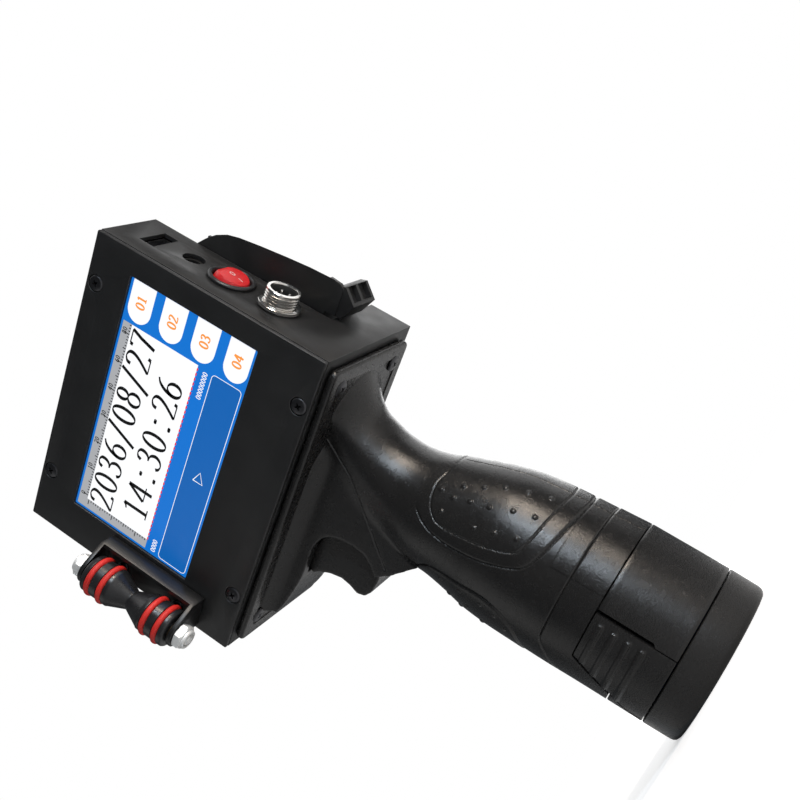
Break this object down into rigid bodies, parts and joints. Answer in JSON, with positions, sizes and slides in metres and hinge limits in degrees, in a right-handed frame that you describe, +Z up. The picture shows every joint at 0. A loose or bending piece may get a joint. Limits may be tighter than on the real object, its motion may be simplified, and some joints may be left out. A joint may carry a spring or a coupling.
{
  "type": "date code inkjet printer",
  "caption": "Handheld inkjet coder: black metal head with touch screen, rear ports and guide roller, on a pistol grip with trigger and round battery pack.",
  "frame": {"origin": "centre of the battery pack's flat base, which the printer stands on", "axes": "+Z up along the battery pack, the touch screen faces -Y, the ink print end faces -X, the rear ports face +X"},
  "size_m": [0.1376, 0.0769, 0.242],
  "materials": {
    "case_black": "satin",
    "handle_black": "satin",
    "cover_black": "satin",
    "cable_black": "matte",
    "screen_glass": "gloss",
    "display_module": "satin",
    "circuit_board": "satin",
    "connector_chrome": "polished",
    "zinc_steel": "satin",
    "black_steel": "satin",
    "bronze": "satin",
    "red_plastic": "satin",
    "red_rubber": "matte",
    "grey_plastic": "matte",
    "cell_wrap": "satin"
  },
  "bodies": {
    "battery_pack": {"battery_shell": "handle_black", "battery_end_cap": "handle_black", "battery_cell_1": "cell_wrap", "battery_cell_2": "cell_wrap", "battery_cell_3": "cell_wrap", "battery_contacts": "bronze"},
    "battery_latch_left": {"battery_latch_left": "handle_black"},
    "battery_latch_right": {"battery_latch_right": "handle_black"},
    "printer_body": {"main_case": "case_black", "front_panel": "case_black", "screen_glass": "screen_glass", "lcd_module": "display_module", "main_board": "circuit_board", "face_screw_1": "black_steel", "face_screw_2": "black_steel", "face_screw_3": "black_steel", "face_screw_4": "black_steel", "usb_socket": "zinc_steel", "dc_jack": "cover_black", "switch_housing": "cover_black", "connector_shell": "connector_chrome", "connector_insert": "cover_black", "connector_nut": "zinc_steel", "bay_divider": "case_black", "cartridge_holder": "grey_plastic", "ink_cartridge": "cover_black", "nose_plate": "zinc_steel", "clamp_pin": "zinc_steel", "roller_bracket": "case_black", "bracket_screw_1": "black_steel", "bracket_screw_2": "black_steel", "roller_shaft": "zinc_steel", "shaft_nut_lower": "zinc_steel", "shaft_nut_upper": "zinc_steel", "handle_flange": "handle_black", "flange_screw_1": "black_steel", "flange_screw_2": "black_steel", "flange_screw_3": "black_steel", "flange_screw_4": "black_steel", "handle_shell_left": "handle_black", "handle_shell_right": "handle_black", "trigger_pin": "zinc_steel", "trigger_spring": "zinc_steel", "trigger_switch": "cover_black", "contact_block": "cover_black", "power_lead": "cable_black"},
    "clamp_cover": {"clamp_cover": "cover_black"},
    "switch_rocker": {"switch_rocker": "red_plastic"},
    "roller": {"roller_core": "handle_black", "roller_bush_lower": "bronze", "roller_bush_upper": "bronze", "o_ring_1": "red_rubber", "o_ring_2": "red_rubber", "o_ring_3": "red_rubber", "o_ring_4": "red_rubber"},
    "trigger": {"trigger": "handle_black"}
  },
  "joints": [
    {"name": "battery_release", "type": "slide", "parent": "battery_pack", "child": "printer_body", "axis": [0, 0, 1], "range_m": [0, 0.045]},
    {"name": "latch_left_press", "type": "slide", "parent": "battery_pack", "child": "battery_latch_left", "axis": [0, 1, 0], "range_m": [0, 0.001], "stiffness_N_per_m": 800, "springref_m": -0.001},
    {"name": "latch_right_press", "type": "slide", "parent": "battery_pack", "child": "battery_latch_right", "axis": [0, -1, 0], "range_m": [0, 0.001], "stiffness_N_per_m": 800, "springref_m": -0.001},
    {"name": "clamp_hinge", "type": "hinge", "parent": "printer_body", "child": "clamp_cover", "pos_m": [0.0245, 0.0143, 0.226], "axis": [0, -1, 0], "range_deg": [0, 100]},
    {"name": "switch_rock", "type": "hinge", "parent": "printer_body", "child": "switch_rocker", "pos_m": [0.0344, -0.0114, 0.1973], "axis": [0, -1, 0], "range_deg": [0, 20]},
    {"name": "roller_spin", "type": "hinge", "parent": "printer_body", "child": "roller", "pos_m": [-0.0805, -0.04, 0.1816], "axis": [0, 0, 1], "continuous": true},
    {"name": "trigger_pull", "type": "hinge", "parent": "printer_body", "child": "trigger", "pos_m": [-0.044, 0, 0.137], "axis": [0, -1, 0], "range_deg": [0, 9], "stiffness_Nm_per_rad": 0.25, "springref_deg": -20.05, "deforming": ["trigger_spring"]}
  ]
}
